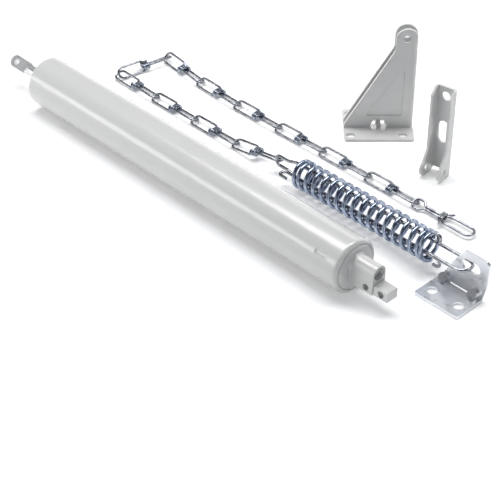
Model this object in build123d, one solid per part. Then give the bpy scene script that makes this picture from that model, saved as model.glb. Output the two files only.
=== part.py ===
from build123d import *
from math import asin, cos, degrees, radians, sin, sqrt
import os

# Pneumatic closer for a screen or storm door, laid out as a kit: the closer itself, its jamb
# and door brackets, and the spring-loaded check chain with its jamb plate.
# Millimetres. The frame's origin is the middle of the outer pin hole in the closer's tongue.
# +X runs along the closer from its rod to its tongue, and +Z is up from the surface it lies on.

os.makedirs("parts", exist_ok=True)

# Clearances
RUN = 0.05
SEAT = 0.1
LOOSE = 0.3
EDGE_BREAK = 0.6

# Closer tube
TUBE_R = 19.05
TUBE_WALL = 1.2
TUBE_LEN = 315.0
TUBE_END_WALL = 1.6
TUBE_END_ROUND = 3.0
RIM_OPENING_R = 16.1
DIMPLE_LEN = 12.0
DIMPLE_TOOL_R = 5.0
DIMPLE_DEPTH = 0.8
DIMPLE_FROM_RIM = 12.5
DIMPLE_ANGLE = 33.0

# End plug, with its screw barrel and tongue
PLUG_DEPTH = 28.0
PLUG_FACE_OUT = 3.8
PLUG_FACE_ROUND = 0.8
BOSS_LEN = 19.0
BOSS_HALF = 5.9
BOSS_DOWN = 8.5
BOSS_FILLET = 1.5
BARREL_UP = 5.5
TONGUE_LEN = 30.4
TONGUE_WIDTH = 9.8
TONGUE_TOP_DROP = 1.0
TONGUE_ROUND = 0.8
PIN_HOLE_R = 2.5
PIN_DROP = 4.7
PIN_FROM_FACE = 25.3
PIN_SPACING = 11.9
O_RING_WIRE_R = 1.1
PLUG_GROOVE_AT = 4.5

# Adjusting screw
SCREW_HEAD_R = 4.2
SCREW_HEAD_LEN = 4.0
SCREW_RECESS = 2.6
SCREW_SHANK_R = 3.0
SCREW_SHANK_LEN = 17.0
NEEDLE_LEN = 5.0
NEEDLE_TIP_R = 0.6
SCREW_SLOT_W = 1.2
SCREW_SLOT_DEPTH = 1.8
SCREW_SLOT_ROLL = 60.0
AIR_HOLE_R = 1.4

# Rod, its eye and its guide
ROD_R = 4.0
ROD_OUT = 43.0
EYE_WIDTH = 9.6
EYE_THICK = 4.4
EYE_FLAT_LEN = 18.5
EYE_TAPER_LEN = 4.5
EYE_HOLE_R = 2.6
EYE_HOLE_FROM_TUBE = 36.5
EYE_ROLL = 45.0
EYE_EDGE_R = 2.0
GUIDE_LEN = 14.0
GUIDE_SNOUT_R = 6.5
GUIDE_PROUD = 0.8
GUIDE_HUB_R = 9.0
GUIDE_HUB_LEN = 5.0
ROD_SEAL_R = 6.4
ROD_SEAL_LEN = 3.0
SEAL_LIP = 0.8

# Piston
PISTON_LEN = 8.0
CUP_WALL = 1.4
CUP_LEN = 6.0
PLATE_THICK = 1.5
PLATE_R = 16.8
ROD_END_R = 3.0
NUT_ACROSS = 10.0
NUT_LEN = 5.0
ROD_END_PROUD = 1.5
PISTON_TO_PLUG = 2.0

# Return spring
RETURN_WIRE_R = 1.3
RETURN_COIL_R = 14.0
RETURN_TURNS = 16

# Jamb bracket: a folded sheet with two eared plates on two flanges
JAMB_SHEET = 1.9
JAMB_WIDTH = 51.0
JAMB_EAR_UP = 75.4
JAMB_EAR_R = 8.1
JAMB_GAP = 5.6
JAMB_FLANGE = 16.5
JAMB_FOLD_UP = 64.0
JAMB_FOLD_R = 3.6
JAMB_HOLE_R = 3.0
JAMB_SCREW_R = 2.7
JAMB_SCREW_SLOT = 1.2
JAMB_SCREW_SPACING = 38.2
JAMB_SCREW_IN = 10.4
JAMB_SCREW_EDGE = 4.8
JAMB_TOE_UP = 4.3
JAMB_WAIST_UP = 66.0
JAMB_BEND_R = 0.8
JAMB_CORNER_R = 2.0
CUTOUT_R = 5.9
CUTOUT_UP = 3.5
CUTOUT_AT = 25.8
CUTOUT_TAB_W = 3.4
CUTOUT_TAB_UP = 5.6
PANEL_DEPTH = 0.8
PANEL_ROUND = 2.0
PANEL_TAPER = 30.0
PANEL_POINTS = ((14.5, 12.0), (42.5, 12.0), (42.8, 55.0))
JAMB_PLACE = (-163.0, 133.6)
JAMB_YAW = 46.5

# Door bracket: a channel standing on its two ears
DOOR_SHEET = 1.8
DOOR_WIDTH = 16.0
DOOR_HEIGHT = 69.5
DOOR_WEB_UP = 3.5
DOOR_FLANGE = 8.7
DOOR_FLANGE_CHAMFER = 5.0
DOOR_FOLD_R = 2.2
DOOR_EAR_REACH = 17.0
DOOR_EAR_R = 6.2
DOOR_EAR_TOP = 21.0
DOOR_PIN_IN = 9.6
DOOR_PIN_UP = 6.2
DOOR_ROUND_HOLE_R = 3.4
DOOR_ROUND_HOLE_UP = 62.4
DOOR_SLOT_W = 8.0
DOOR_SLOT_LEN = 17.6
DOOR_SLOT_UP = 33.6
DOOR_PLACE = (-85.8, 142.9)
DOOR_YAW = 9.7

# Chain plate: an angle with two screw holes below and a slot above
PLATE_SHEET = 2.0
PLATE_BASE_LEN = 36.0
PLATE_BASE_DEPTH = 24.5
PLATE_BEND_R = 0.8
PLATE_SCREW_R = 3.7
PLATE_SCREW_SPACING = 21.8
PLATE_SCREW_IN = 15.0
PLATE_CORNER_R = 1.5
PLATE_HEIGHT = 31.8
PLATE_TOP_FROM = 18.4
PLATE_SHOULDER = (9.7, 18.5)
PLATE_LEAN_UP = 13.4
PLATE_SLOT_LEN = 15.0
PLATE_SLOT_W = 8.5
PLATE_SLOT_AT = 24.2
PLATE_SLOT_UP = 22.0
GUSSET_R = 3.4
GUSSET_INSET = 5.4
CHAIN_PLATE_PLACE = (2.0, 49.6)

# Check spring and its two draw bars
BAR_WIRE_R = 1.2
BAR_HALF = 6.5
BAR_SLOT_AT = 23.0
CHECK_WIRE_R = 1.2
CHECK_COIL_R = 9.65
CHECK_LEN = 128.0
CHECK_TURNS = 15.5
CHECK_START = 31.8
BAR_HOOK_W = 6.0
PLATE_BAR_HOOK = 8.5
CHAIN_BAR_HOOK = 6.0
CHAIN_BAR_OUT = 24.6
CHAIN_BAR_EYE = 3.8
CHAIN_BAR_TAPER = 10.0
SPRING_YAW = -3.0

# Chain
LINK_PITCH = 44.5
LINK_WIRE_R = 1.0
LOOP_HALF = 4.3
LOOP_REACH = 2.0
LOOP_ROLL = 24.0
NECK_HALF = 2.3
NECK_TAPER = 4.5
KNOT_TILT = 10.0
KNOT_STEP = 0.95
KNOT_TURN_R = 1.8
BEND_SHY = 0.1
CHAIN_UP = 3.05
CORNER_LINKS = (4, 5)
CORNER_ROLL = 50.0
CORNER_STEP = (-1.2, -0.9, 0.8)
CORNER_UP = 3.8
LINK_HEADINGS = (180.0, 180.0, 180.0, 179.0, 84.0, -6.0, -3.0, 0.0, 1.0, 0.0, 0.0)
END_HEADING = 0.0
END_SHAFT_LEN = 24.0
END_EYE_HALF = 4.0
END_EYE_LEN = 8.0
END_EYE_TAPER = 3.0
END_TWIN_HALF = 1.05
END_LOOP_LEN = 26.5
END_LOOP_HALF = 4.6
END_TAIL_LEN = 6.0
END_TAIL_LEAN = 4.0

# Heights and places that follow
FLOOR = PIN_DROP - TUBE_R
AXIS_Z = PIN_DROP
PLUG_FACE_X = -PIN_FROM_FACE
RIM_X = PLUG_FACE_X - PLUG_FACE_OUT
TUBE_X0 = RIM_X - TUBE_LEN
BORE_R = TUBE_R - TUBE_WALL
PLUG_INNER_X = RIM_X - PLUG_DEPTH


def on_axis(profile_points):
    """Revolves an outline of (x, radius) points about the closer's axis."""
    outline = make_face(Polyline(*[(x, r) for x, r in profile_points], close=True))
    turned = Plane.XY * outline
    return Location((0, 0, AXIS_Z)) * revolve(turned, Axis.X)


def rod_along_x(x0, x1, radius, y=0.0, z=0.0):
    """A round bar from x0 to x1, at y and z off the closer's axis."""
    bar = Cylinder(radius, x1 - x0, rotation=(0, 90, 0))
    return Location(((x0 + x1) / 2, y, AXIS_Z + z)) * bar


def ring(x, ring_r, wire_r):
    """A round ring about the closer's axis."""
    return Location((x, 0, AXIS_Z), (0, 90, 0)) * Torus(ring_r, wire_r)


def wire(path, radius):
    """Round wire bent along a path."""
    return sweep(Plane(origin=path @ 0, z_dir=path % 0) * Circle(radius), path=path)


def coil(radius, wire_r, length, turns):
    """A compression spring along +X from x = 0, cut flat at both ends."""
    rise = (length - 2 * wire_r) / turns
    line = Helix(pitch=rise, height=length - 2 * wire_r, radius=radius)
    spring = sweep(Plane(origin=line @ 0, z_dir=line % 0) * Circle(wire_r), path=line, is_frenet=True)
    return Location((wire_r, 0, 0), (0, 90, 0)) * spring


def across(x, z, radius, length):
    """A round cutter along Y at height z off the closer's axis."""
    return Location((x, 0, AXIS_Z + z), (90, 0, 0)) * Cylinder(radius, length)


# Closer tube: drawn shut at the rod end, and rolled over the plug at the other
def tube_blank():
    curl_r = TUBE_R - RIM_OPENING_R
    outer = Polyline((TUBE_X0, GUIDE_SNOUT_R + SEAT), (TUBE_X0, TUBE_R), (RIM_X, TUBE_R))
    curl = CenterArc((RIM_X, RIM_OPENING_R), curl_r, 0, 90)
    lip = Line((RIM_X + curl_r, RIM_OPENING_R), (RIM_X + curl_r - TUBE_WALL, RIM_OPENING_R))
    inner_curl = CenterArc((RIM_X, RIM_OPENING_R), curl_r - TUBE_WALL, 0, 90)
    inner = Polyline(
        (RIM_X, BORE_R),
        (TUBE_X0 + TUBE_END_WALL, BORE_R),
        (TUBE_X0 + TUBE_END_WALL, GUIDE_SNOUT_R + SEAT),
        (TUBE_X0, GUIDE_SNOUT_R + SEAT),
    )
    face = make_face(outer + curl + lip + inner_curl + inner)
    shell = revolve(face, Axis.X)
    rounded = [e for e in shell.edges().filter_by(GeomType.CIRCLE)
               if abs(e.radius - TUBE_R) < 1e-3 and abs(e.arc_center.X - TUBE_X0) < 1e-3]
    return Location((0, 0, AXIS_Z)) * fillet(rounded, TUBE_END_ROUND)


def dimple_tool(radius):
    """The rounded punch of the staking dimple, as a bar with ball ends."""
    half = DIMPLE_LEN / 2 - sqrt(2 * DIMPLE_TOOL_R * DIMPLE_DEPTH)
    out = TUBE_R + DIMPLE_TOOL_R - DIMPLE_DEPTH
    at = Location((RIM_X - DIMPLE_FROM_RIM, 0, AXIS_Z), (90 - DIMPLE_ANGLE, 0, 0)) * Location((0, 0, out))
    bar = Cylinder(radius, 2 * half, rotation=(0, 90, 0))
    balls = Location((half, 0, 0)) * Sphere(radius) + Location((-half, 0, 0)) * Sphere(radius)
    return at * (bar + balls)


def closer_tube():
    inside = rod_along_x(TUBE_X0 + TUBE_END_WALL, RIM_X, BORE_R + TUBE_WALL / 2)
    bump = dimple_tool(DIMPLE_TOOL_R + TUBE_WALL) & inside
    return tube_blank() + bump - dimple_tool(DIMPLE_TOOL_R)


# End plug
def boss_section(half, top, bottom):
    """The barrel's end view: a round top over straight sides, in the YZ plane."""
    body = Location((0, (top + bottom) / 2)) * Rectangle(2 * half, top - bottom)
    crown = Location((0, top)) * Circle(half)
    return body + crown


def end_plug():
    curl_r = TUBE_R - RIM_OPENING_R - TUBE_WALL - SEAT
    neck_r = RIM_OPENING_R - LOOSE
    body_r = BORE_R - SEAT
    outline = (
        Polyline((PLUG_INNER_X, 0), (PLUG_INNER_X, body_r), (RIM_X, body_r))
        + CenterArc((RIM_X, body_r - curl_r), curl_r, 0, 90)
        + Polyline(
            (RIM_X + curl_r, body_r - curl_r),
            (RIM_X + curl_r, neck_r),
            (PLUG_FACE_X - PLUG_FACE_ROUND, neck_r),
            (PLUG_FACE_X, neck_r - PLUG_FACE_ROUND),
            (PLUG_FACE_X, 0),
            (PLUG_INNER_X, 0),
        )
    )
    body = Location((0, 0, AXIS_Z)) * revolve(make_face(outline), Axis.X)
    end_view = Plane(origin=(PLUG_FACE_X, 0, AXIS_Z), x_dir=(0, 1, 0), z_dir=(1, 0, 0))
    boss = extrude(end_view * boss_section(BOSS_HALF, BARREL_UP, -BOSS_DOWN), BOSS_LEN)
    root_edges = (body + boss).edges().filter_by_position(Axis.X, PLUG_FACE_X - 0.01, PLUG_FACE_X + 0.01)
    root_edges = [e for e in root_edges if e.center().Y ** 2 + (e.center().Z - AXIS_Z) ** 2 < neck_r ** 2 / 2
                  and not (e.geom_type == GeomType.CIRCLE and e.radius > BOSS_HALF + 1)]
    plug = fillet(root_edges, BOSS_FILLET) if root_edges else body + boss
    tongue_drop = (TONGUE_TOP_DROP + BOSS_DOWN) / 2
    tongue_high = BOSS_DOWN - TONGUE_TOP_DROP
    tongue_face = Location((0, -tongue_drop)) * RectangleRounded(TONGUE_WIDTH, tongue_high, TONGUE_ROUND)
    plug += extrude(end_view * tongue_face, TONGUE_LEN)
    for x in (0, -PIN_SPACING):
        plug -= across(x, -PIN_DROP, PIN_HOLE_R, 4 * BOSS_HALF)
    head_end = PLUG_FACE_X + BOSS_LEN - SCREW_RECESS - SCREW_HEAD_LEN
    plug -= rod_along_x(head_end, PLUG_FACE_X + BOSS_LEN + 1, SCREW_HEAD_R + SEAT, z=BARREL_UP)
    shank_end = head_end - SCREW_SHANK_LEN - SEAT
    plug -= rod_along_x(shank_end, head_end + 1, SCREW_SHANK_R + SEAT, z=BARREL_UP)
    plug -= rod_along_x(PLUG_INNER_X - 1, shank_end + 1, AIR_HOLE_R, z=BARREL_UP)
    groove_r = body_r - 2 * O_RING_WIRE_R - SEAT
    groove_half = O_RING_WIRE_R + SEAT
    groove = rod_along_x(plug_groove_x() - groove_half, plug_groove_x() + groove_half, BORE_R)
    plug -= groove - rod_along_x(PLUG_INNER_X, RIM_X, groove_r)
    return plug - dimple_tool(DIMPLE_TOOL_R + TUBE_WALL + SEAT)


def plug_groove_x():
    return PLUG_INNER_X + PLUG_GROOVE_AT


def plug_o_ring():
    return ring(plug_groove_x(), BORE_R - SEAT - O_RING_WIRE_R, O_RING_WIRE_R)


def adjusting_screw():
    head_x = PLUG_FACE_X + BOSS_LEN - SCREW_RECESS
    neck_x = head_x - SCREW_HEAD_LEN
    needle_x = neck_x - SCREW_SHANK_LEN + NEEDLE_LEN
    tip_x = needle_x - NEEDLE_LEN
    outline = Polyline(
        (tip_x, 0), (tip_x, NEEDLE_TIP_R), (needle_x, SCREW_SHANK_R - LOOSE), (needle_x, SCREW_SHANK_R),
        (neck_x, SCREW_SHANK_R), (neck_x, SCREW_HEAD_R), (head_x - EDGE_BREAK, SCREW_HEAD_R),
        (head_x, SCREW_HEAD_R - EDGE_BREAK), (head_x, 0), close=True,
    )
    screw = Location((0, 0, AXIS_Z + BARREL_UP)) * revolve(make_face(outline), Axis.X)
    slot = Location((head_x, 0, AXIS_Z + BARREL_UP), (SCREW_SLOT_ROLL, 0, 0)) * Box(
        2 * SCREW_SLOT_DEPTH, 4 * SCREW_HEAD_R, SCREW_SLOT_W)
    return screw - slot


# Rod end guide and seal
def rod_guide():
    back = TUBE_X0 + TUBE_END_WALL
    pocket = back + GUIDE_LEN - ROD_SEAL_LEN - SEAT
    guide = on_axis([
        (TUBE_X0 - GUIDE_PROUD, ROD_R + RUN), (TUBE_X0 - GUIDE_PROUD, GUIDE_SNOUT_R - EDGE_BREAK),
        (TUBE_X0 - GUIDE_PROUD + EDGE_BREAK, GUIDE_SNOUT_R), (back, GUIDE_SNOUT_R), (back, BORE_R - SEAT),
        (back + GUIDE_LEN - GUIDE_HUB_LEN, BORE_R - SEAT), (back + GUIDE_LEN - GUIDE_HUB_LEN, GUIDE_HUB_R),
        (back + GUIDE_LEN, GUIDE_HUB_R), (back + GUIDE_LEN, ROD_SEAL_R + SEAT),
        (pocket, ROD_SEAL_R + SEAT), (pocket, ROD_R + RUN),
    ])
    return guide


def rod_seal():
    end = TUBE_X0 + TUBE_END_WALL + GUIDE_LEN
    start = end - ROD_SEAL_LEN
    return on_axis([
        (start, ROD_R + RUN), (start, ROD_SEAL_R), (end, ROD_SEAL_R), (end, ROD_SEAL_R - SEAL_LIP),
        (start + SEAL_LIP, ROD_R + SEAL_LIP), (end, ROD_R + SEAL_LIP), (end, ROD_R + RUN),
    ])


# Piston and rod
NUT_X1 = PLUG_INNER_X - PISTON_TO_PLUG - ROD_END_PROUD
NUT_X0 = NUT_X1 - NUT_LEN
PISTON_X1 = NUT_X0
PISTON_X0 = PISTON_X1 - PISTON_LEN
SPRING_PLATE_X0 = PISTON_X0 - PLATE_THICK
GUIDE_SEAT_X = TUBE_X0 + TUBE_END_WALL + GUIDE_LEN - GUIDE_HUB_LEN


def piston_rod():
    eye_x = TUBE_X0 - EYE_HOLE_FROM_TUBE
    tip_x = TUBE_X0 - ROD_OUT
    flat_end = tip_x + EYE_FLAT_LEN
    shaft = rod_along_x(flat_end + EYE_TAPER_LEN, SPRING_PLATE_X0, ROD_R)
    shaft += rod_along_x(SPRING_PLATE_X0, NUT_X1 + ROD_END_PROUD, ROD_END_R)
    round_end = Plane(origin=(flat_end + EYE_TAPER_LEN, 0, 0), x_dir=(0, 1, 0), z_dir=(-1, 0, 0))
    flat_start = Plane(origin=(flat_end, 0, 0), x_dir=(0, 1, 0), z_dir=(-1, 0, 0))
    taper = loft([round_end * Circle(ROD_R), flat_start * RectangleRounded(EYE_WIDTH, EYE_THICK, EYE_EDGE_R)])
    blank = Location((flat_end / 2 + (tip_x + EYE_WIDTH / 2) / 2, 0)) * Rectangle(
        flat_end - tip_x - EYE_WIDTH / 2, EYE_WIDTH)
    blank += Location((tip_x + EYE_WIDTH / 2, 0)) * Circle(EYE_WIDTH / 2)
    blank -= Location((eye_x, 0)) * Circle(EYE_HOLE_R)
    tab = extrude(Location((0, 0, -EYE_THICK / 2)) * blank, EYE_THICK)
    eye = Location((0, 0, AXIS_Z), (EYE_ROLL, 0, 0)) * (tab + taper)
    return shaft + eye


def spring_plate():
    x0, x1 = SPRING_PLATE_X0, PISTON_X0
    return on_axis([(x0, ROD_END_R + RUN), (x0, PLATE_R), (x1, PLATE_R), (x1, ROD_END_R + RUN)])


def piston():
    """The nylon disc, cut back behind its rim where the cup seal sits."""
    cup_x0 = PISTON_X1 - CUP_LEN
    return on_axis([
        (PISTON_X0, ROD_END_R + RUN), (PISTON_X0, BORE_R - LOOSE), (cup_x0, BORE_R - LOOSE),
        (cup_x0, BORE_R - 2 * CUP_WALL - SEAT), (PISTON_X1 - EDGE_BREAK, BORE_R - 2 * CUP_WALL - SEAT),
        (PISTON_X1, BORE_R - 2 * CUP_WALL - SEAT - EDGE_BREAK), (PISTON_X1, ROD_END_R + RUN),
    ])


def piston_cup():
    """The lipped seal that slides in the tube."""
    x0 = PISTON_X1 - CUP_LEN
    inner = BORE_R - 2 * CUP_WALL
    outer = BORE_R - RUN
    return on_axis([
        (x0, inner), (x0, outer - EDGE_BREAK), (x0 + EDGE_BREAK, outer - LOOSE), (PISTON_X1, outer),
        (PISTON_X1, outer - CUP_WALL / 2), (x0 + CUP_WALL, outer - CUP_WALL), (x0 + CUP_WALL, inner),
    ])


def rod_nut():
    blank = extrude(Plane(origin=(NUT_X0, 0, AXIS_Z), x_dir=(0, 1, 0), z_dir=(1, 0, 0)) *
                    RegularPolygon(NUT_ACROSS / 2, 6, major_radius=False), NUT_LEN)
    return blank - rod_along_x(NUT_X0 - 1, NUT_X1 + 1, ROD_END_R + RUN)


def return_spring():
    length = SPRING_PLATE_X0 - GUIDE_SEAT_X - 2 * RUN
    spring = coil(RETURN_COIL_R, RETURN_WIRE_R, length, RETURN_TURNS)
    return Location((GUIDE_SEAT_X + RUN, 0, AXIS_Z)) * spring


# Jamb bracket, drawn in its own axes: x along its front, y away from it, z up
def jamb_outline():
    """One plate's outline, seen from the front."""
    ear_x = JAMB_WIDTH - JAMB_EAR_R
    waist = (ear_x - JAMB_EAR_R, JAMB_WAIST_UP)
    edge = Polyline(
        (0, 0), (JAMB_WIDTH, 0), (JAMB_WIDTH, JAMB_EAR_UP),
    ) + CenterArc((ear_x, JAMB_EAR_UP), JAMB_EAR_R, 0, 180) + Polyline(
        (ear_x - JAMB_EAR_R, JAMB_EAR_UP), waist, (0, JAMB_TOE_UP), (0, 0),
    )
    face = make_face(edge)
    return face - Location((ear_x, JAMB_EAR_UP)) * Circle(JAMB_HOLE_R)


def jamb_screw_hole(x, y):
    slot = Location((x, y)) * SlotCenterToCenter(JAMB_SCREW_SLOT, 2 * JAMB_SCREW_R)
    return extrude(slot, JAMB_SHEET)


def jamb_bracket():
    depth = JAMB_GAP + 2 * JAMB_SHEET
    flat_len = JAMB_WIDTH - JAMB_FOLD_R
    tall = JAMB_EAR_UP + JAMB_EAR_R
    plan = Rectangle(JAMB_WIDTH, depth, align=(Align.MIN, Align.MIN))
    gap = Location((-JAMB_SHEET, JAMB_SHEET)) * Rectangle(JAMB_WIDTH, JAMB_GAP, align=(Align.MIN, Align.MIN))
    channel = extrude(plan, tall)
    fold = [e for e in channel.edges().filter_by(Axis.Z) if e.center().X > JAMB_WIDTH - 1]
    channel = fillet(fold, JAMB_FOLD_R)
    hollow = extrude(gap, tall)
    fold = [e for e in hollow.edges().filter_by(Axis.Z) if e.center().X > JAMB_WIDTH - JAMB_SHEET - 1]
    channel -= fillet(fold, JAMB_FOLD_R - JAMB_SHEET)
    channel -= Box(flat_len, depth, tall, align=(Align.MIN, Align.MIN, Align.MIN))
    open_top = Box(3 * JAMB_FOLD_R, JAMB_GAP, JAMB_EAR_UP, align=(Align.CENTER, Align.MIN, Align.MIN))
    body = channel - Location((JAMB_WIDTH, JAMB_SHEET, JAMB_FOLD_UP)) * open_top
    body -= Box(JAMB_WIDTH, depth, JAMB_BEND_R, align=(Align.MIN, Align.MIN, Align.MIN))
    for side in (0, 1):
        body += mirror_side(jamb_side(flat_len, tall), side, depth)
    front_view = Plane(origin=(0, depth + JAMB_FLANGE, 0), x_dir=(1, 0, 0), z_dir=(0, -1, 0))
    body &= extrude(front_view * jamb_outline(), depth + 2 * JAMB_FLANGE)
    body -= Location((CUTOUT_AT, depth / 2, CUTOUT_UP), (90, 0, 0)) * Cylinder(CUTOUT_R, depth + 2 * CUTOUT_UP)
    for side in (0, 1):
        body += mirror_side(Location((CUTOUT_AT, 0, 0)) * cutout_tab(), side, depth)
        body += mirror_side(jamb_panel(JAMB_SHEET), side, depth)
        body -= mirror_side(jamb_panel(0), side, depth)
    return body


def mirror_side(shape, side, depth):
    """The shape itself, or its mirror image on the bracket's far side."""
    if side == 0:
        return shape
    return mirror(shape, Plane.XZ.offset(-depth / 2))


def jamb_side(flat_len, tall):
    """The front plate and its flange, one bent sheet, with the flange's two screw holes."""
    section = make_face(Polyline(
        (-JAMB_FLANGE, 0), (JAMB_SHEET, 0), (JAMB_SHEET, tall), (0, tall), (0, JAMB_SHEET),
        (-JAMB_FLANGE, JAMB_SHEET), close=True))
    outer = [v for v in section.vertices() if v.X > JAMB_SHEET - RUN and v.Y < RUN]
    section = fillet(outer, JAMB_BEND_R + JAMB_SHEET)
    inner = [v for v in section.vertices() if abs(v.X) < RUN and abs(v.Y - JAMB_SHEET) < RUN]
    section = fillet(inner, JAMB_BEND_R)
    side = extrude(Plane.YZ * section, flat_len)
    toe = Box(JAMB_FOLD_R, JAMB_FLANGE - JAMB_BEND_R, JAMB_SHEET, align=(Align.MIN, Align.MIN, Align.MIN))
    side += Location((flat_len, -JAMB_FLANGE, 0)) * toe
    corners = [e for e in side.edges().filter_by(Axis.Z) if e.center().Y < RUN - JAMB_FLANGE]
    side = fillet(corners, JAMB_CORNER_R)
    for x in (JAMB_SCREW_EDGE, JAMB_SCREW_EDGE + JAMB_SCREW_SPACING):
        side -= jamb_screw_hole(x, -JAMB_SCREW_IN)
    return side


def cutout_tab():
    """The round-topped tab left standing in the cut-out, with its foot in the flange."""
    half = CUTOUT_TAB_W / 2
    view = Plane(origin=(0, JAMB_SHEET, 0), x_dir=(1, 0, 0), z_dir=(0, -1, 0))
    stem = Location((0, (CUTOUT_TAB_UP - half) / 2)) * Rectangle(CUTOUT_TAB_W, CUTOUT_TAB_UP - half)
    tab = extrude(view * (stem + Location((0, CUTOUT_TAB_UP - half)) * Circle(half)), JAMB_SHEET)
    foot = Box(CUTOUT_TAB_W, 3 * JAMB_SHEET, JAMB_SHEET, align=(Align.CENTER, Align.MAX, Align.MIN))
    return tab + Location((0, JAMB_SHEET, 0)) * foot


def jamb_panel(inset):
    """The pressed triangular panel's tapered plug, starting inset behind the front face."""
    view = Plane(origin=(0, inset, 0), x_dir=(1, 0, 0), z_dir=(0, -1, 0))
    flat = make_face(Polyline(*PANEL_POINTS, close=True))
    flat = fillet(flat.vertices(), PANEL_ROUND)
    return extrude(view * flat, -PANEL_DEPTH, taper=PANEL_TAPER)


# Door bracket, drawn in its own axes: x across its web, y into the channel, z up
def door_side():
    """One flange and its ear, seen from the side: y out from the web's back, z up."""
    ear_y = DOOR_EAR_REACH - DOOR_EAR_R
    face = make_face(Polyline(
        (0, DOOR_WEB_UP), (DOOR_WEB_UP, 0), (ear_y, 0), (ear_y, DOOR_EAR_R), (DOOR_FLANGE, DOOR_EAR_TOP),
        (DOOR_FLANGE, DOOR_HEIGHT - DOOR_FLANGE_CHAMFER), (DOOR_FLANGE - DOOR_FLANGE_CHAMFER, DOOR_HEIGHT),
        (0, DOOR_HEIGHT), close=True))
    lobe = Location((ear_y, DOOR_EAR_R)) * Circle(DOOR_EAR_R)
    flank = make_face(Polyline(
        (ear_y - 1, DOOR_EAR_R), (DOOR_EAR_REACH, DOOR_EAR_R), (DOOR_FLANGE, DOOR_EAR_TOP), close=True))
    return face + lobe + flank


def door_bracket():
    reach = DOOR_EAR_REACH
    block = Box(DOOR_WIDTH, reach, DOOR_HEIGHT, align=(Align.MIN, Align.MIN, Align.MIN))
    block = fillet(block.edges().filter_by(Axis.Z).group_by(Axis.Y)[0], DOOR_FOLD_R)
    inside = Box(DOOR_WIDTH - 2 * DOOR_SHEET, reach, DOOR_HEIGHT, align=(Align.MIN, Align.MIN, Align.MIN))
    inside = fillet(inside.edges().filter_by(Axis.Z).group_by(Axis.Y)[0], DOOR_FOLD_R - DOOR_SHEET)
    channel = block - Location((DOOR_SHEET, DOOR_SHEET, 0)) * inside
    side_view = Plane(origin=(0, 0, 0), x_dir=(0, 1, 0), z_dir=(1, 0, 0))
    body = channel & extrude(side_view * door_side(), DOOR_WIDTH)
    under_web = Box(DOOR_WIDTH - 2 * DOOR_FOLD_R, 2 * DOOR_SHEET, DOOR_WEB_UP,
                    align=(Align.CENTER, Align.MIN, Align.MIN))
    body -= Location((DOOR_WIDTH / 2, 0, 0)) * under_web
    pin = Location((DOOR_WIDTH / 2, DOOR_PIN_IN, DOOR_PIN_UP), (0, 90, 0)) * Cylinder(PIN_HOLE_R, 2 * DOOR_WIDTH)
    round_hole = Location((DOOR_WIDTH / 2, 0, DOOR_ROUND_HOLE_UP), (90, 0, 0)) * Cylinder(
        DOOR_ROUND_HOLE_R, 4 * DOOR_SHEET)
    slot_view = Plane(origin=(DOOR_WIDTH / 2, -DOOR_SHEET, DOOR_SLOT_UP), x_dir=(0, 0, 1), z_dir=(0, 1, 0))
    slot = extrude(slot_view * SlotOverall(DOOR_SLOT_LEN, DOOR_SLOT_W), 3 * DOOR_SHEET)
    return body - pin - round_hole - slot


# Chain plate, drawn in its own axes: x along its bend, y away from the base, z up
def chain_plate():
    right = PLATE_BASE_LEN + PLATE_SHEET
    upright_face = make_face(Polyline(
        (0, 0), (PLATE_SHOULDER[0], PLATE_SHOULDER[1]), (PLATE_TOP_FROM, PLATE_HEIGHT),
        (right - PLATE_SHEET, PLATE_HEIGHT), (right, PLATE_HEIGHT - PLATE_SHEET),
        (right, PLATE_LEAN_UP), (PLATE_BASE_LEN - 1, 0), close=True))
    upright_face = fillet(upright_face.vertices().sort_by(Axis.Y)[-4:], PLATE_CORNER_R)
    upright_face -= Location((PLATE_SLOT_AT, PLATE_SLOT_UP)) * SlotOverall(PLATE_SLOT_LEN, PLATE_SLOT_W)
    front_view = Plane(origin=(0, PLATE_SHEET, 0), x_dir=(1, 0, 0), z_dir=(0, -1, 0))
    upright = extrude(front_view * upright_face, PLATE_SHEET)
    base_face = make_face(Polyline(
        (0, PLATE_SHEET), (0, -PLATE_BASE_DEPTH), (PLATE_BASE_LEN, -PLATE_BASE_DEPTH),
        (PLATE_BASE_LEN - 1, PLATE_SHEET), close=True))
    base_face = fillet(base_face.vertices().group_by(Axis.Y)[0], PLATE_CORNER_R)
    middle = PLATE_BASE_LEN / 2
    for x in (middle - PLATE_SCREW_SPACING / 2, middle + PLATE_SCREW_SPACING / 2):
        base_face -= Location((x, -PLATE_SCREW_IN)) * Circle(PLATE_SCREW_R)
    base = extrude(base_face, PLATE_SHEET)
    corner = Box(PLATE_BASE_LEN - 2, PLATE_BEND_R, PLATE_BEND_R, align=(Align.MIN, Align.MAX, Align.MIN))
    bead = Location((0, 0, PLATE_SHEET)) * corner
    hollow = Location((0, -PLATE_BEND_R, PLATE_SHEET + PLATE_BEND_R), (0, 90, 0)) * Cylinder(
        PLATE_BEND_R, 3 * PLATE_BASE_LEN)
    plate = upright + base + (bead - hollow)
    back_round = [e for e in plate.edges().filter_by(Axis.X)
                  if abs(e.center().Y - PLATE_SHEET) < 0.01 and abs(e.center().Z) < 0.01]
    plate = fillet(back_round, PLATE_BEND_R + PLATE_SHEET * 0.6)
    for x in (GUSSET_INSET, PLATE_BASE_LEN - 1 - GUSSET_INSET):
        rib = Location((x, 0, PLATE_SHEET), (45, 0, 0)) * Cylinder(GUSSET_R, 3 * GUSSET_R)
        wedge = Box(2 * GUSSET_R, 3 * GUSSET_R, 3 * GUSSET_R, align=(Align.CENTER, Align.MAX, Align.MIN))
        plate += rib & (Location((x, PLATE_SHEET / 2, PLATE_SHEET / 2)) * wedge)
    return plate


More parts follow.
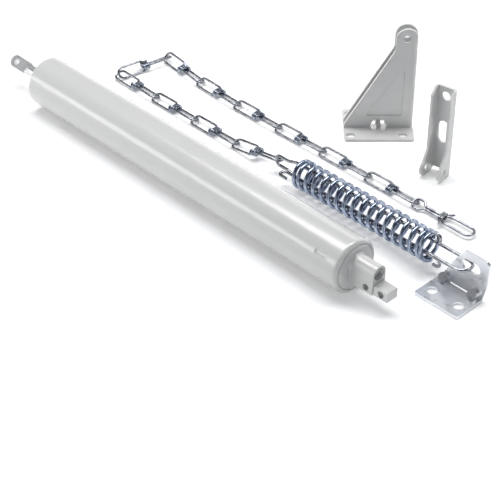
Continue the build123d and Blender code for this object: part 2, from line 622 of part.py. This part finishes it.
# Where the check spring's line runs: from the slot in the chain plate down to the floor
def slot_point():
    """Where the plate's draw bar crosses the slot."""
    x = CHAIN_PLATE_PLACE[0] + BAR_SLOT_AT
    y = CHAIN_PLATE_PLACE[1] + PLATE_SHEET / 2
    z = FLOOR + PLATE_SLOT_UP - PLATE_SLOT_W / 2 + BAR_WIRE_R + LOOSE
    return (x, y, z)


def spring_pitch():
    """How steeply the spring leans: its far end coil rests on the floor."""
    drop = slot_point()[2] - (FLOOR + CHECK_COIL_R + CHECK_WIRE_R + RUN)
    return degrees(asin(drop / (CHECK_START + CHECK_LEN - CHECK_WIRE_R)))


SPRING_PLACE = Location(slot_point()) * Location((0, 0, 0), (0, 0, SPRING_YAW)) * Location(
    (0, 0, 0), (0, -spring_pitch(), 0))


def check_spring():
    spring = coil(CHECK_COIL_R, CHECK_WIRE_R, CHECK_LEN, CHECK_TURNS)
    return Location((-CHECK_START - CHECK_LEN, 0, 0)) * spring


def hooked_bar(tip_x, tip_half, taper, hook_x, hook_dir, returned):
    """A hairpin of wire in the XY plane. Its ends hook outward round a spring's end coil."""
    reach = BAR_HALF + BAR_HOOK_W
    toe = hook_x - hook_dir * returned
    turn = BAR_HOOK_W / 2 - BEND_SHY
    points = [(toe, -reach), (hook_x, -reach), (hook_x, -BAR_HALF)]
    radii = [turn, turn]
    if tip_half < BAR_HALF:
        inward = -1 if tip_x < hook_x else 1
        start = tip_x - inward * (CHAIN_BAR_OUT - 2)
        points += [(start, -BAR_HALF), (start + inward * taper, -tip_half)]
        radii += [taper, taper / 2]
    points += [(tip_x, -tip_half), (tip_x, tip_half)]
    radii += [tip_half - BEND_SHY, tip_half - BEND_SHY]
    mirrored = [(x, -y) for x, y in points[:-2]][::-1]
    path = FilletPolyline(*(points + mirrored), radius=radii + radii[:-2][::-1])
    return wire(path, BAR_WIRE_R)


def plate_draw_bar():
    hook_x = -CHECK_START - CHECK_LEN - PLATE_BAR_HOOK
    return hooked_bar(0, BAR_HALF, 0, hook_x, -1, PLATE_BAR_HOOK - LOOSE)


def chain_draw_bar():
    tip_x = -CHECK_START - CHECK_LEN - CHAIN_BAR_OUT
    hook_x = -CHECK_START + CHAIN_BAR_HOOK
    bar = hooked_bar(tip_x, CHAIN_BAR_EYE, CHAIN_BAR_TAPER, hook_x, 1, CHAIN_BAR_HOOK - LOOSE)
    return Location((0, 0, 0), (90, 0, 0)) * bar


# Chain
def eye_point():
    """Where the first link hooks into the chain draw bar's eye."""
    out = CHECK_START + CHECK_LEN + CHAIN_BAR_OUT - LOOP_REACH
    return (SPRING_PLACE * Location((-out, 0, 0))).position


def next_end(start, heading, up):
    """A link's far end, on its heading from its near end and at a height above the floor."""
    flat = sqrt(LINK_PITCH ** 2 - (start.Z - FLOOR - up) ** 2)
    turn = radians(heading)
    return Vector(start.X + flat * cos(turn), start.Y + flat * sin(turn), FLOOR + up)


def chain_course():
    """Each link's near and far ends. At a corner the next link starts a step off the last one's end."""
    course = []
    start = eye_point()
    for number, heading in enumerate(LINK_HEADINGS):
        into_corner = number + 1 in CORNER_LINKS
        end = next_end(start, heading, CORNER_UP if into_corner else CHAIN_UP)
        course.append((start, end))
        start = end
        if into_corner:
            start = (frame_along(end, end - course[-1][0]) * Location(CORNER_STEP)).position
    return course


def frame_along(origin, along):
    """A frame at a point, with +X along the given direction and +Y level."""
    side = Vector(0, 0, 1).cross(along).normalized()
    return Plane(origin=origin, x_dir=along.normalized(), z_dir=along.cross(side)).location


CHAIN = chain_course()


def link_place(number):
    start, end = CHAIN[number]
    return frame_along(start, end - start)


def loop_wire(tip_x, neck_x, half, neck_half, taper):
    """One loop of a link in the XY plane: round at tip_x, drawn in to its neck at neck_x."""
    inward = 1 if neck_x > tip_x else -1
    wide_x = neck_x - inward * (taper + LINK_WIRE_R)
    narrow_x = neck_x - inward * LINK_WIRE_R
    points = [
        (neck_x + inward * LINK_WIRE_R, -neck_half), (narrow_x, -neck_half), (wide_x, -half),
        (tip_x, -half), (tip_x, half), (wide_x, half), (narrow_x, neck_half),
        (neck_x + inward * LINK_WIRE_R, neck_half),
    ]
    bend = taper / 3
    radii = [bend, bend, half - BEND_SHY, half - BEND_SHY, bend, bend]
    return wire(FilletPolyline(*points, radius=radii), LINK_WIRE_R)


def knot():
    """Two turns of wire side by side round both strands of a link, biting into them a little."""
    path = (Plane.YZ * SlotCenterToCenter(2 * NECK_HALF, 2 * KNOT_TURN_R)).wire()
    turn = Location((0, 0, 0), (0, 0, KNOT_TILT)) * wire(path, LINK_WIRE_R)
    return Location((-KNOT_STEP, 0, 0)) * turn + Location((KNOT_STEP, 0, 0)) * turn


def rolled(shape, angle):
    return Location((0, 0, 0), (angle, 0, 0)) * shape


def chain_link(near_roll):
    middle = LINK_PITCH / 2
    near = loop_wire(-LOOP_REACH, middle, LOOP_HALF, NECK_HALF, NECK_TAPER)
    far = loop_wire(LINK_PITCH + LOOP_REACH, middle, LOOP_HALF, NECK_HALF, NECK_TAPER)
    return rolled(near, near_roll) + rolled(far, -LOOP_ROLL) + Location((middle, 0, 0)) * knot()


def chain_end_loop():
    """The last piece: an eye and its doubled shaft, a knot with two tails, and a long loop."""
    half, twin = END_EYE_HALF, END_TWIN_HALF
    shaft = FilletPolyline(
        (END_SHAFT_LEN, -twin), (END_EYE_LEN, -twin), (END_EYE_LEN - END_EYE_TAPER, -half),
        (-LOOP_REACH, -half), (-LOOP_REACH, half), (END_EYE_LEN - END_EYE_TAPER, half),
        (END_EYE_LEN, twin), (END_SHAFT_LEN, twin),
        radius=[1, 1, half - BEND_SHY, half - BEND_SHY, 1, 1])
    piece = rolled(wire(shaft, LINK_WIRE_R), LOOP_ROLL)
    piece += Location((END_SHAFT_LEN, 0, 0)) * knot()
    piece += loop_wire(END_SHAFT_LEN + END_LOOP_LEN, END_SHAFT_LEN, END_LOOP_HALF, NECK_HALF, NECK_TAPER)
    for side in (-1, 1):
        out = side * (NECK_HALF + END_TAIL_LEN)
        tail = Line((END_SHAFT_LEN, side * NECK_HALF, 0), (END_SHAFT_LEN + END_TAIL_LEAN, out, 0))
        piece += wire(tail, LINK_WIRE_R)
    return piece


JAMB_AT = Location((JAMB_PLACE[0], JAMB_PLACE[1], FLOOR), (0, 0, JAMB_YAW))
DOOR_AT = Location((DOOR_PLACE[0], DOOR_PLACE[1], FLOOR), (0, 0, DOOR_YAW))
PLATE_AT = Location((CHAIN_PLATE_PLACE[0], CHAIN_PLATE_PLACE[1], FLOOR))

pieces = {
    "closer_tube": closer_tube(),
    "end_plug": end_plug(),
    "plug_o_ring": plug_o_ring(),
    "adjusting_screw": adjusting_screw(),
    "rod_guide": rod_guide(),
    "rod_seal": rod_seal(),
    "piston_rod": piston_rod(),
    "spring_plate": spring_plate(),
    "piston": piston(),
    "piston_cup": piston_cup(),
    "rod_nut": rod_nut(),
    "return_spring": return_spring(),
    "jamb_bracket": JAMB_AT * jamb_bracket(),
    "door_bracket": DOOR_AT * mirror(door_bracket(), Plane.XZ),
    "chain_plate": PLATE_AT * chain_plate(),
    "check_spring": SPRING_PLACE * check_spring(),
    "plate_draw_bar": SPRING_PLACE * plate_draw_bar(),
    "chain_draw_bar": SPRING_PLACE * chain_draw_bar(),
    "chain_end_loop": Location(CHAIN[-1][1], (0, 0, END_HEADING)) * chain_end_loop(),
}
plain_link = chain_link(LOOP_ROLL)
corner_link = chain_link(CORNER_ROLL)
for number in range(len(LINK_HEADINGS)):
    link = corner_link if number in CORNER_LINKS else plain_link
    pieces[f"chain_link_{number + 1:02d}"] = link_place(number) * link

for name, shape in pieces.items():
    export_step(shape, f"parts/{name}.step")
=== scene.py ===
import math

import bmesh
import bpy
from mathutils import Matrix, Vector


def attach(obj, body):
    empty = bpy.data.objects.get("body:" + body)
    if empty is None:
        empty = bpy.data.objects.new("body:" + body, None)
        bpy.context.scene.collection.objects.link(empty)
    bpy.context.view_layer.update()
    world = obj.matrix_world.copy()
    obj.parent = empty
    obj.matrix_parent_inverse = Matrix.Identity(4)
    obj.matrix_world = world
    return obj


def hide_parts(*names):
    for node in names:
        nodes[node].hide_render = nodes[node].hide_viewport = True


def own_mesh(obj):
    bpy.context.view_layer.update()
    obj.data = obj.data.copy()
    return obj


# Looks of a pneumatic door closer kit, in metres and in the frame of its solids
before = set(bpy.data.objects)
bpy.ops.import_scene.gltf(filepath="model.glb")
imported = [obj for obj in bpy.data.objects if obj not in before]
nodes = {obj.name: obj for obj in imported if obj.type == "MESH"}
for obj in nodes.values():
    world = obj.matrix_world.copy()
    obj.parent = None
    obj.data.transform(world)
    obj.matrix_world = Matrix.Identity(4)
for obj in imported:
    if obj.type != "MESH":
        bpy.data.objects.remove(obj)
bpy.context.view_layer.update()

# Check spring: its coil lies along a line that starts at the chain plate's slot
SPRING_FOOT = (0.025, 0.0506, 0.0049)
SPRING_YAW = -3.0
SPRING_PITCH = 3.018
SPRING_FROM = -0.1598
SPRING_TO = -0.0318
SPRING_OUTER = 0.01085
SPRING_WIRE = 0.00145
SPRING_TURNS = 18.0
SPRING_STEPS = 640
CLOSE_PITCH = 0.45  # pitch of the end turns, as a share of the pitch of those between
CLOSE_TURNS = 0.8
EASE_TURNS = 1.4

# Chain links: the ends of each one's axis in millimetres, and the sizes of its wire in metres
CHAIN_AXES = [
    ((-156.9, 60.13, -4.7), (-200.91, 60.13, -11.3)),
    ((-200.91, 60.13, -11.3), (-245.41, 60.13, -11.3)),
    ((-245.41, 60.13, -11.3), (-289.91, 60.13, -11.3)),
    ((-289.91, 60.13, -11.3), (-334.39, 60.91, -10.55)),
    ((-333.16, 61.79, -9.77), (-328.51, 106.04, -10.55)),
    ((-327.74, 104.76, -9.73), (-283.51, 100.12, -11.3)),
    ((-283.51, 100.12, -11.3), (-239.07, 97.79, -11.3)),
    ((-239.07, 97.79, -11.3), (-194.57, 97.79, -11.3)),
    ((-194.57, 97.79, -11.3), (-150.08, 98.56, -11.3)),
    ((-150.08, 98.56, -11.3), (-105.58, 98.56, -11.3)),
    ((-105.58, 98.56, -11.3), (-61.08, 98.56, -11.3)),
]
CORNER_LINKS = (5, 6)
LINK_LEN = 0.0445
LINK_WIRE = 0.0009
LOOP_HALF = 0.0043
LOOP_CORNER = LOOP_HALF - 0.0001
LOOP_REACH = 0.002
NECK_HALF = 0.0021
NECK_TAPER = 0.0045
NECK_BEND = NECK_TAPER / 3
NECK_LAP = 0.002
WRAP_TURNS = 3
WRAP_PITCH = 0.00182
WRAP_STEPS = 36  # in each turn

# Degrees that a link's two loops are rolled about its axis, one each way, and further for
# the near loop of a corner link
LOOP_ROLL = 24.0
CORNER_ROLL = 50.0

# Distances from a link's middle where its painted knot shade ends, and where the painted shade of the
# next link's interlock begins
KNOT_SHADE_EDGE = (0.0028, 0.0042)
INTERLOCK_SHADE_EDGE = (0.0180, 0.0215)

# Round wires
WIRE_SIDES = 12
BEND_STEPS = 8
CAP_DOME = 0.4  # height of a wire's domed end, in wire radii

FLOOR_Z = -0.01435
FLOOR_REACH = 4.0
FLOOR_GLOW = 0.22
GLOW_RISE = (0.5, 1.1)

# Room: brightness by height, and the heights between which its white horizon fades
ROOM = [(0.0, 0.56), (0.16, 0.50), (0.34, 0.18), (0.75, 0.10), (1.0, 0.27)]
ROOM_TINT = (0.94, 0.98, 1.05)
HORIZON_FADE = (0.12, 0.3)

KIT_MIDDLE = (-0.15, 0.05, 0)
SOFTBOXES = {
    "above": ((-0.35, 0.25, 1.2), (1.5, 0.5), 17),
    "front": ((-0.75, -0.95, 0.3), (1.1, 0.28), 3.6),
    "back": ((-0.2, 1.3, 0.7), (1.8, 0.5), 4),
}

# Camera, with its turns in degrees and its lens and sensor in millimetres
CAMERA_AT = (0.4709, -0.5642, 0.58265)
CAMERA_TURNS = (53, 0, 46.46)
CAMERA_LENS = 108
CAMERA_SENSOR = 36
CAMERA_CLIP = (0.05, 10)

# Sockets of a colour mix, by number because other sockets have the same names
MIX_LOW, MIX_HIGH, MIX_RESULT = 6, 7, 2


# Node helpers
class Nodes:
    """A node tree whose nodes are added one by one."""

    def __init__(self, tree):
        self.tree = tree

    def join(self, value, socket):
        """Link another node's socket to this one, or write a value there."""
        if isinstance(value, bpy.types.NodeSocket):
            self.tree.links.new(value, socket)
        else:
            socket.default_value = value

    def node(self, kind, inputs=(), **settings):
        made = self.tree.nodes.new("ShaderNode" + kind)
        for key, value in settings.items():
            setattr(made, key, value)
        for key, value in dict(inputs).items():
            self.join(value, made.inputs[key])
        return made

    def calc(self, operation, *values):
        return self.node("Math", dict(enumerate(values)), operation=operation).outputs["Value"]

    def spread(self, value, start, end, low=0.0, high=1.0):
        """A number carried from one range to another, and held at its ends."""
        ranges = {"Value": value, "From Min": start, "From Max": end, "To Min": low, "To Max": high}
        return self.node("MapRange", ranges).outputs["Result"]

    def mix(self, fac, low, high):
        """Two colours mixed by a factor, each given as three numbers or as a socket."""
        low, high = ((*c, 1) if isinstance(c, tuple) else c for c in (low, high))
        mixed = self.node("Mix", {"Factor": fac, MIX_LOW: low, MIX_HIGH: high}, data_type="RGBA")
        return mixed.outputs[MIX_RESULT]

    def shown(self):
        """One for the rays that show the background: the camera's, and those mirrored or seen through."""
        rays = self.node("LightPath").outputs
        direct = self.calc("ADD", rays["Is Camera Ray"], rays["Is Glossy Ray"])
        return self.calc("ADD", direct, rays["Is Transmission Ray"])


class Shader(Nodes):
    """A material of one principled shader."""

    def __init__(self, name):
        self.material = bpy.data.materials.new(name)
        self.material.use_nodes = True
        super().__init__(self.material.node_tree)
        self.bsdf = self.tree.nodes["Principled BSDF"]

    def set(self, **inputs):
        for key, value in inputs.items():
            self.join(value, self.bsdf.inputs[key.replace("_", " ")])

    def place(self):
        return self.node("TexCoord").outputs["Object"]

    def noise(self, scale, detail=4.0, rough=0.55, stretch=None):
        at = self.place()
        if stretch:
            at = self.node("Mapping", {"Vector": at, "Scale": stretch}).outputs["Vector"]
        inputs = {"Vector": at, "Scale": scale, "Detail": detail, "Roughness": rough}
        return self.node("TexNoise", inputs).outputs["Fac"]

    def blend(self, fac, low, high):
        """Two colours or numbers mixed by a factor that uses its middle range only."""
        if isinstance(low, tuple):
            return self.mix(self.spread(fac, 0.3, 0.7), low, high)
        return self.spread(fac, 0.3, 0.7, low, high)

    def bump(self, height, strength, distance):
        inputs = {"Height": height, "Strength": strength, "Distance": distance}
        self.set(Normal=self.node("Bump", inputs).outputs["Normal"])


# Finishes, with painted shade on the chain links
def paint(name, low, high, rough, peel, grain):
    """Sprayed paint: patches of slightly different tone, uneven gloss and a fine orange peel."""
    s = Shader(name)
    s.set(Base_Color=s.blend(s.noise(18, 3), low, high))
    s.set(Roughness=s.blend(s.noise(60, 3), rough - 0.015, rough + 0.02))
    s.set(Coat_Weight=0.8, Coat_Roughness=0.22)
    s.bump(s.noise(peel, 3, 0.6), grain, 0.00012)
    return s.material


def plated(name, low, high, rough, scale, grain, stretch=None, uneven=0.085):
    """Zinc plate or bare steel: cloudy tone, uneven polish and fine draw marks."""
    s = Shader(name)
    s.set(Base_Color=s.blend(s.noise(scale, 6, 0.6), low, high), Metallic=1.0)
    s.set(Roughness=s.blend(s.noise(scale * 3, 4, 0.6, stretch), rough - uneven, rough + uneven))
    s.bump(s.noise(scale * 12, 4, 0.65, stretch), grain, 0.00015)
    return s.material


def link_zinc_and_shade():
    """Bright zinc on a link's loops, with painted shade in its knot and where the next links interlock
    with it.
    """
    s = Shader("link_zinc")
    x = s.node("SeparateXYZ", {"Vector": s.place()}).outputs["X"]
    off = s.calc("ABSOLUTE", s.calc("SUBTRACT", x, LINK_LEN / 2))
    bright = s.blend(s.noise(260, 5), (0.22, 0.23, 0.26), (0.52, 0.53, 0.56))
    # Painted shade: dark colours in the knot's crevices and at the loop ends, where the next links
    # interlock
    knot_shade = s.blend(s.noise(500, 4), (0.10, 0.12, 0.16), (0.48, 0.52, 0.60))
    interlock_shade = s.blend(s.noise(500, 4), (0.14, 0.15, 0.18), (0.44, 0.46, 0.49))
    body = s.mix(s.spread(off, *KNOT_SHADE_EDGE), knot_shade, bright)
    s.set(Base_Color=s.mix(s.spread(off, *INTERLOCK_SHADE_EDGE), body, interlock_shade), Metallic=1.0)
    s.set(Roughness=s.blend(s.noise(700, 4), 0.12, 0.28))
    s.bump(s.noise(2400, 4, 0.65), 0.2, 0.0001)
    return s.material


def moulded(name, low, high, rough):
    """Moulded nylon or rubber: a matt skin with a fine even grain."""
    s = Shader(name)
    s.set(Base_Color=s.blend(s.noise(120, 4), low, high))
    s.set(Roughness=s.blend(s.noise(400, 3), rough - 0.06, rough + 0.06))
    s.bump(s.noise(2600, 2), 0.25, 0.0001)
    return s.material


tube_paint = paint(
    "tube_paint", (0.62, 0.62, 0.612), (0.64, 0.64, 0.632), rough=0.25, peel=1500, grain=0.02)
plug_paint = paint(
    "plug_paint", (0.61, 0.61, 0.602), (0.65, 0.65, 0.642), rough=0.32, peel=1100, grain=0.07)
bracket_paint = paint(
    "bracket_paint", (0.64, 0.635, 0.625), (0.68, 0.68, 0.672), rough=0.36, peel=1300, grain=0.08)
plate_zinc = plated(
    "plate_zinc", (0.74, 0.77, 0.82), (0.90, 0.90, 0.91), rough=0.32, scale=45, grain=0.16,
    stretch=(1, 4, 1), uneven=0.05)
wire_zinc = plated(
    "wire_zinc", (0.22, 0.23, 0.26), (0.54, 0.55, 0.58), rough=0.18, scale=220, grain=0.25)
spring_zinc = plated(
    "spring_zinc", (0.13, 0.17, 0.26), (0.52, 0.58, 0.70), rough=0.17, scale=200, grain=0.25)
link_zinc = link_zinc_and_shade()
screw_zinc = plated(
    "screw_zinc", (0.80, 0.80, 0.81), (0.94, 0.94, 0.95), rough=0.34, scale=150, grain=0.25)
rod_steel = plated(
    "rod_steel", (0.68, 0.68, 0.69), (0.82, 0.82, 0.83), rough=0.38, scale=90, grain=0.22,
    stretch=(8, 1, 1))
nylon = moulded("nylon", (0.66, 0.65, 0.61), (0.74, 0.73, 0.69), rough=0.5)
rubber = moulded("rubber", (0.02, 0.02, 0.02), (0.04, 0.04, 0.04), rough=0.65)

# Every solid that isn't named here is zinc-plated wire
finishes = {
    "closer_tube": tube_paint,
    "end_plug": plug_paint,
    "plug_o_ring": rubber,
    "adjusting_screw": screw_zinc,
    "rod_guide": nylon,
    "rod_seal": rubber,
    "piston_rod": rod_steel,
    "spring_plate": plate_zinc,
    "piston": nylon,
    "piston_cup": rubber,
    "rod_nut": screw_zinc,
    "return_spring": spring_zinc,
    "jamb_bracket": bracket_paint,
    "door_bracket": bracket_paint,
    "chain_plate": plate_zinc,
    "check_spring": spring_zinc,
}
for name, obj in nodes.items():
    obj.data.materials.clear()
    obj.data.materials.append(finishes.get(name, wire_zinc))


# Wire pieces
def arc_path(points, radii):
    """A line through points, with each inner corner rounded to its radius."""
    points = [Vector(p) for p in points]
    path = [points[0]]
    for before, corner, after, radius in zip(points, points[1:], points[2:], radii):
        back = (before - corner).normalized()
        ahead = (after - corner).normalized()
        half = back.angle(ahead) / 2
        middle = corner + (back + ahead).normalized() * (radius / math.sin(half))
        leave = corner + back * (radius / math.tan(half)) - middle
        reach = corner + ahead * (radius / math.tan(half)) - middle
        axis = leave.cross(reach).normalized()
        sweep = leave.angle(reach)
        for step in range(BEND_STEPS + 1):
            path.append(middle + Matrix.Rotation(sweep * step / BEND_STEPS, 3, axis) @ leave)
    path.append(points[-1])
    return path


def add_tube(bm, path, radius):
    """A round wire along a path, closed at both ends with a domed cap."""
    along = [(b - a).normalized() for a, b in zip(path, path[1:])]
    along = [along[0]] + [(a + b).normalized() for a, b in zip(along, along[1:])] + [along[-1]]
    angles = [2 * math.pi * n / WIRE_SIDES for n in range(WIRE_SIDES)]
    side = along[0].orthogonal().normalized()
    rings = []
    for at, ahead in zip(path, along):
        side = (side - ahead * side.dot(ahead)).normalized()
        up = ahead.cross(side)
        ring = [at + (side * math.cos(a) + up * math.sin(a)) * radius for a in angles]
        rings.append([bm.verts.new(point) for point in ring])
    for low, high in zip(rings, rings[1:]):
        for n in range(WIRE_SIDES):
            m = (n + 1) % WIRE_SIDES
            bm.faces.new((low[n], low[m], high[m], high[n]))
    for ring, at, out in ((rings[0], path[0], -along[0]), (rings[-1], path[-1], along[-1])):
        tip = bm.verts.new(at + out * radius * CAP_DOME)
        for n in range(WIRE_SIDES):
            face = (ring[n], ring[(n + 1) % WIRE_SIDES], tip)
            bm.faces.new(face if out == along[-1] else face[::-1])


def wire_mesh(name, paths, radius, material):
    """A smooth mesh of one round wire along each path."""
    bm = bmesh.new()
    for path in paths:
        add_tube(bm, path, radius)
    bmesh.ops.recalc_face_normals(bm, faces=bm.faces)
    mesh = bpy.data.meshes.new(name)
    bm.to_mesh(mesh)
    bm.free()
    mesh.polygons.foreach_set("use_smooth", [True] * len(mesh.polygons))
    mesh.materials.append(material)
    return mesh


def add_piece(name, mesh, matrix, body, node):
    """A piece of the scene that stands for one solid and rides on its body."""
    obj = bpy.data.objects.new(name, mesh)
    bpy.context.collection.objects.link(obj)
    obj.matrix_world = matrix
    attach(obj, body)
    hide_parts(node)
    return obj


def spring_path():
    """The check spring's line: its end turns lie closer together than those between."""
    shares = []
    for step in range(SPRING_STEPS):
        turn = SPRING_TURNS * (step + 0.5) / SPRING_STEPS
        from_end = min(turn, SPRING_TURNS - turn)
        ease = min(1, max(0, (from_end - CLOSE_TURNS) / EASE_TURNS))
        shares.append(CLOSE_PITCH + (1 - CLOSE_PITCH) * ease * ease * (3 - 2 * ease))
    length = SPRING_TO - SPRING_FROM - 2 * SPRING_WIRE
    scale = length / sum(shares)
    radius = SPRING_OUTER - SPRING_WIRE
    x = SPRING_FROM + SPRING_WIRE
    path = []
    for step in range(SPRING_STEPS + 1):
        turn = 2 * math.pi * SPRING_TURNS * step / SPRING_STEPS
        path.append(Vector((x, radius * math.sin(turn), -radius * math.cos(turn))))
        if step < SPRING_STEPS:
            x += shares[step] * scale
    return path


def loop_path(tip, neck, roll):
    """One loop of a link, rolled about the link's axis."""
    inward = 1 if neck > tip else -1
    narrow = neck - inward * LINK_WIRE
    wide = narrow - inward * NECK_TAPER
    points = [(neck, -NECK_HALF), (narrow, -NECK_HALF), (wide, -LOOP_HALF), (tip, -LOOP_HALF)]
    points += [(x, -y) for x, y in points[::-1]]
    radii = [NECK_BEND, NECK_BEND, LOOP_CORNER, LOOP_CORNER, NECK_BEND, NECK_BEND]
    turn = Matrix.Rotation(math.radians(roll), 3, "X")
    return [turn @ p for p in arc_path([(x, y, 0) for x, y in points], radii)]


def wrap_path():
    """The tight turns of wire that close a link at its middle."""
    bend = 2 * LINK_WIRE
    flat = 2 * NECK_HALF
    half_turn = math.pi * bend
    lap = 2 * flat + 2 * half_turn
    steps = WRAP_STEPS * WRAP_TURNS
    path = []
    for step in range(steps + 1):
        x = LINK_LEN / 2 + WRAP_PITCH * WRAP_TURNS * (step / steps - 0.5)
        s = (lap * WRAP_TURNS * step / steps) % lap
        if s < flat:
            y, z = NECK_HALF - s, bend
        elif s < flat + half_turn:
            a = (s - flat) / bend
            y, z = -NECK_HALF - bend * math.sin(a), bend * math.cos(a)
        elif s < 2 * flat + half_turn:
            y, z = s - flat - half_turn - NECK_HALF, -bend
        else:
            a = (s - 2 * flat - half_turn) / bend
            y, z = NECK_HALF + bend * math.sin(a), -bend * math.cos(a)
        path.append(Vector((x, y, z)))
    return path


def link_mesh(name, near_roll):
    """A link in its own frame, with its axis along +X."""
    middle = LINK_LEN / 2
    near = loop_path(-LOOP_REACH, middle + NECK_LAP, near_roll)
    far = loop_path(LINK_LEN + LOOP_REACH, middle - NECK_LAP, -LOOP_ROLL)
    return wire_mesh(name, [near, far, wrap_path()], LINK_WIRE, link_zinc)


def link_frame(start, end):
    """A link's frame: +X along its axis and +Y level."""
    start, end = Vector(start) / 1000, Vector(end) / 1000
    along = (end - start).normalized()
    side = Vector((0, 0, 1)).cross(along).normalized()
    up = along.cross(side)
    return Matrix.Translation(start) @ Matrix((along, side, up)).transposed().to_4x4()


def add_spring():
    """The check spring, a rigid coil that rides on the spring bar's body."""
    yaw = Matrix.Rotation(math.radians(SPRING_YAW), 4, "Z")
    lean = yaw @ Matrix.Rotation(math.radians(-SPRING_PITCH), 4, "Y")
    place = Matrix.Translation(SPRING_FOOT) @ lean
    mesh = wire_mesh("spring_coils", [spring_path()], SPRING_WIRE, spring_zinc)
    coils = add_piece("spring_coils", mesh, place, "spring_bar", "check_spring")
    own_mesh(coils)


def add_links():
    """The wire of every chain link, on one mesh but for the two links at the corner."""
    plain = link_mesh("link_wire", LOOP_ROLL)
    corner = link_mesh("corner_link_wire", CORNER_ROLL)
    for number, (start, end) in enumerate(CHAIN_AXES, 1):
        label = f"link_{number:02d}"
        mesh = corner if number in CORNER_LINKS else plain
        place = link_frame(start, end)
        add_piece(label + "_wire", mesh, place, label, "chain_" + label)


# Floor, lights and camera
def floor():
    mesh = bpy.data.meshes.new("floor")
    signs = ((-1, -1), (1, -1), (1, 1), (-1, 1))
    corners = [(x * FLOOR_REACH, y * FLOOR_REACH, FLOOR_Z) for x, y in signs]
    mesh.from_pydata(corners, [], [(0, 1, 2, 3)])
    obj = bpy.data.objects.new("floor", mesh)
    bpy.context.collection.objects.link(obj)
    s = Shader("floor_white")
    s.set(Base_Color=s.blend(s.noise(3, 2), (0.90, 0.90, 0.90), (0.92, 0.92, 0.92)), Roughness=0.9)
    away = s.node("VectorMath", {0: s.place()}, operation="LENGTH").outputs["Value"]
    glow = s.calc("MULTIPLY", s.shown(), s.spread(away, *GLOW_RISE, FLOOR_GLOW, 1.0))
    s.set(Emission_Color=(1, 1, 1, 1), Emission_Strength=glow)
    obj.data.materials.append(s.material)


def softbox(name, place, size, power):
    light = bpy.data.lights.new(name, "AREA")
    light.shape = "RECTANGLE"
    light.size, light.size_y = size
    light.energy = power
    obj = bpy.data.objects.new(name, light)
    obj.location = place
    obj.rotation_euler = (Vector(KIT_MIDDLE) - Vector(place)).to_track_quat("-Z", "Y").to_euler()
    bpy.context.collection.objects.link(obj)


def studio():
    """A dim blue-grey room with a bright horizon, and white softboxes above, in front and behind."""
    world = bpy.data.worlds.new("studio")
    world.use_nodes = True
    w = Nodes(world.node_tree)
    place = w.node("TexCoord").outputs["Generated"]
    height = w.node("SeparateXYZ", {"Vector": place}).outputs["Z"]
    room = w.node("ValToRGB", {"Fac": height})
    stops = room.color_ramp.elements
    while len(stops) < len(ROOM):
        stops.new(0.5)
    for stop, (at, value) in zip(stops, ROOM):
        stop.position = at
        stop.color = (*(value * tint for tint in ROOM_TINT), 1)
    white = w.calc("MULTIPLY", w.shown(), w.spread(height, *HORIZON_FADE, 1.0, 0.0))
    sky = w.mix(white, room.outputs["Color"], (1, 1, 1))
    w.join(sky, w.tree.nodes["Background"].inputs["Color"])
    bpy.context.scene.world = world
    for name, (place, size, power) in SOFTBOXES.items():
        softbox(name, place, size, power)


def camera():
    """The photograph's camera."""
    data = bpy.data.cameras.new("camera")
    data.sensor_fit = "HORIZONTAL"
    data.sensor_width = CAMERA_SENSOR
    data.lens = CAMERA_LENS
    data.clip_start, data.clip_end = CAMERA_CLIP
    obj = bpy.data.objects.new("camera", data)
    obj.location = CAMERA_AT
    obj.rotation_euler = tuple(math.radians(turn) for turn in CAMERA_TURNS)
    bpy.context.collection.objects.link(obj)
    bpy.context.scene.camera = obj
    bpy.context.scene.view_settings.view_transform = "Standard"


add_spring()
add_links()
floor()
studio()
camera()
